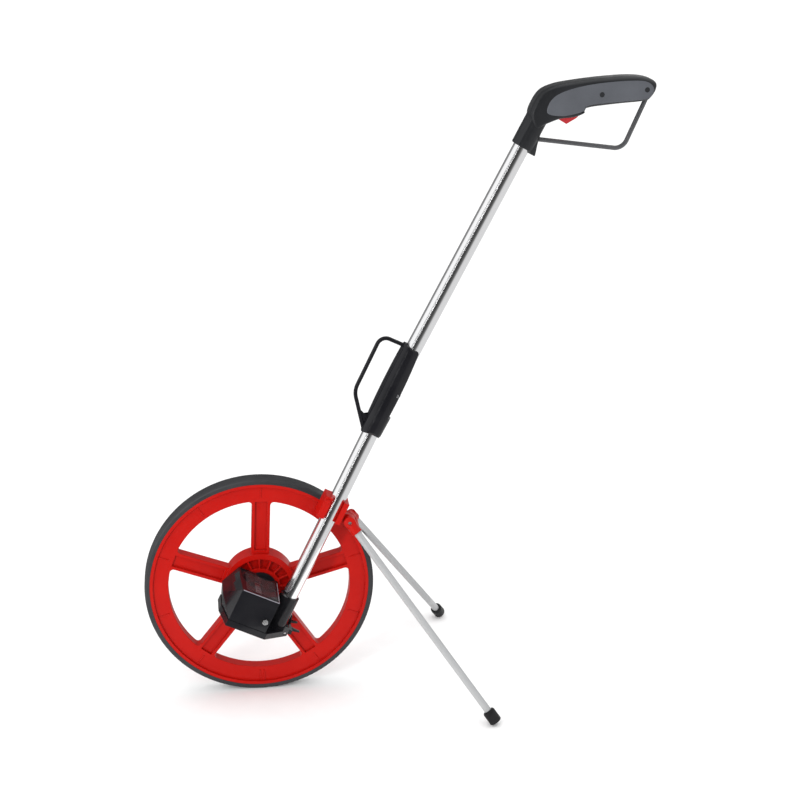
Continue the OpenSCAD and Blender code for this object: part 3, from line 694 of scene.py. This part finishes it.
def counter_edges():
    """Painted highlights: pale strips along the front and right edges of the box's top, where light
    catches them.
    """
    u, near = BOX_TOP_U - 0.2, BOX_NEAR_Y - POLE_Y / MM + 0.3
    corner = pole(BOX_RIGHT_A, u, near)
    for name, start, end in (("front", pole(-36, u, near), corner),
                             ("right", corner, pole(BOX_RIGHT_A + 0.4, u, 19))):
        bm = bmesh.new()
        cylinder_along(bm, start, end, 0.55 * MM, 12)
        edge = piece("counter_highlight_" + name, bm, "frame", "black_plastic")
        # The strip's pale colour is a painted highlight, standing in for light caught by the edge
        edge.data.materials[0] = PAINTED_EDGE_HIGHLIGHT.material


def button_bezel():
    """Rounded ring on the box's near face, about the reset button."""
    bm = bmesh.new()
    button = middle("reset_button")
    centre = Vector((button.x, BOX_NEAR_Y * MM, button.z))
    rings = [[centre + MM * Vector((r * math.cos(t), y, r * math.sin(t))) for t in full_turn(48)]
             for r, y in ((4.3, 0.2), (4.3, -0.9), (4.9, -1.3), (5.5, -0.9), (5.7, 0.2))]
    last_to_first(bm, join_rings(bm, rings))
    piece("button_bezel", bm, "frame", "black_plastic")


# ---- Floor and light ----

def floor():
    """Plain white ground."""
    bm = bmesh.new()
    bmesh.ops.create_grid(bm, x_segments=4, y_segments=4, size=20)
    mesh = bpy.data.meshes.new("floor")
    bm.to_mesh(mesh)
    bm.free()
    ground = bpy.data.objects.new("floor", mesh)
    scene.collection.objects.link(ground)
    mesh.materials.append(plastic("floor", (0.93, 0.93, 0.93), (0.91, 0.91, 0.91), (0.8, 0.9),
                                  edge=0).material)


def strip_light(target, offset, width, length, power):
    """Long lamp that faces a point of the pole and runs along it."""
    data = bpy.data.lights.new("strip", "AREA")
    data.shape = "RECTANGLE"
    data.size, data.size_y = width, length
    data.energy = power
    lamp = bpy.data.objects.new("strip", data)
    scene.collection.objects.link(lamp)
    away = offset.normalized()
    side = UP.cross(away).normalized()
    lamp.rotation_mode = "QUATERNION"
    lamp.rotation_quaternion = Matrix((side, away.cross(side), away)).transposed().to_quaternion()
    lamp.location = target + offset


# What the chrome mirrors, by angle from the camera's side of the pole: a dark flag faces the camera
MIRRORED = ((-180, 0.30), (-130, 0.22), (-106, 0.24), (-92, 0.95), (-50, 1.0), (-38, 0.7),
            (-26, 0.08), (-8, 0.03), (14, 0.07), (28, 0.16), (46, 0.62), (62, 0.70), (180, 0.70))
CARD_R, CARD_ENDS, CARD_STEPS = 0.32, (-0.25, 1.15), 180   # metres, and facets all round


def mirrored(turn):
    """Brightness of the card at an angle, eased between the listed ones."""
    for (low, a), (high, b) in zip(MIRRORED, MIRRORED[1:]):
        if turn <= high:
            t = (turn - low) / (high - low)
            return a + (b - a) * t * t * (3 - 2 * t)
    return MIRRORED[-1][1]


def reflector():
    """Round card about the pole that only mirror-like surfaces see, as studio flags shade chrome."""
    view = (TO_CAMERA - UP * TO_CAMERA.dot(UP)).normalized()
    side = UP.cross(view)
    bm = bmesh.new()
    shade = bm.verts.layers.float_color.new("shade")
    turns = [-180 + 360 * k / CARD_STEPS for k in range(CARD_STEPS + 1)]
    rings = [[pole(POLE_A, 0) + UP * u + CARD_R * (view * math.cos(t) + side * math.sin(t))
              for t in map(math.radians, turns)] for u in CARD_ENDS]
    for ring in join_rings(bm, rings, closed=False):
        for turn, v in zip(turns, ring):
            v[shade] = (*[mirrored(turn)] * 3, 1)
    mesh = bpy.data.meshes.new("reflector")
    bm.to_mesh(mesh)
    bm.free()
    card = bpy.data.objects.new("reflector", mesh)
    scene.collection.objects.link(card)
    m = Finish("reflector", (0, 0, 0), 1.0, edge=0)
    m.shader.inputs["Specular IOR Level"].default_value = 0
    m.shader.inputs["Emission Strength"].default_value = 1
    source = m.node("ShaderNodeVertexColor")
    source.layer_name = "shade"
    m.tree.links.new(source.outputs["Color"], m.shader.inputs["Emission Color"])
    mesh.materials.append(m.material)
    card.visible_camera = False
    card.visible_diffuse = False
    card.visible_shadow = False
    card.visible_transmission = False


def world(horizon, zenith):
    """White behind the object; what lights it grows from the horizon to straight up."""
    made = bpy.data.worlds.new("world")
    scene.world = made
    made.use_nodes = True
    tree = made.node_tree
    sky = tree.nodes["Background"]
    place, split = tree.nodes.new("ShaderNodeTexCoord"), tree.nodes.new("ShaderNodeSeparateXYZ")
    grow, pick = tree.nodes.new("ShaderNodeMapRange"), tree.nodes.new("ShaderNodeMix")
    path = tree.nodes.new("ShaderNodeLightPath")
    grow.inputs["To Min"].default_value = horizon
    grow.inputs["To Max"].default_value = zenith
    pick.inputs["B"].default_value = 1.0
    tree.links.new(place.outputs["Generated"], split.inputs["Vector"])
    tree.links.new(split.outputs["Z"], grow.inputs["Value"])
    tree.links.new(grow.outputs["Result"], pick.inputs["A"])
    tree.links.new(path.outputs["Is Camera Ray"], pick.inputs["Factor"])
    tree.links.new(pick.outputs["Result"], sky.inputs["Strength"])
    sky.inputs["Color"].default_value = (1, 1, 1, 1)


pole_tube("lower_tube", pole, LOWER_TUBE_ENDS, "frame")
pole_tube("upper_tube", upper, UPPER_TUBE_ENDS, "upper")
handle_shells()
handle_socket()
hand_guard()
sleeve_barrel()
carrying_loop()
rim_ribs()
drum_digits()
number_mask()
counter_edges()
button_bezel()
floor()
world(0.75, 1.45)
strip_light(pole(POLE_A, 330), Vector((-0.75, -0.95, 0.15)), width=0.10, length=1.1, power=7)
reflector()
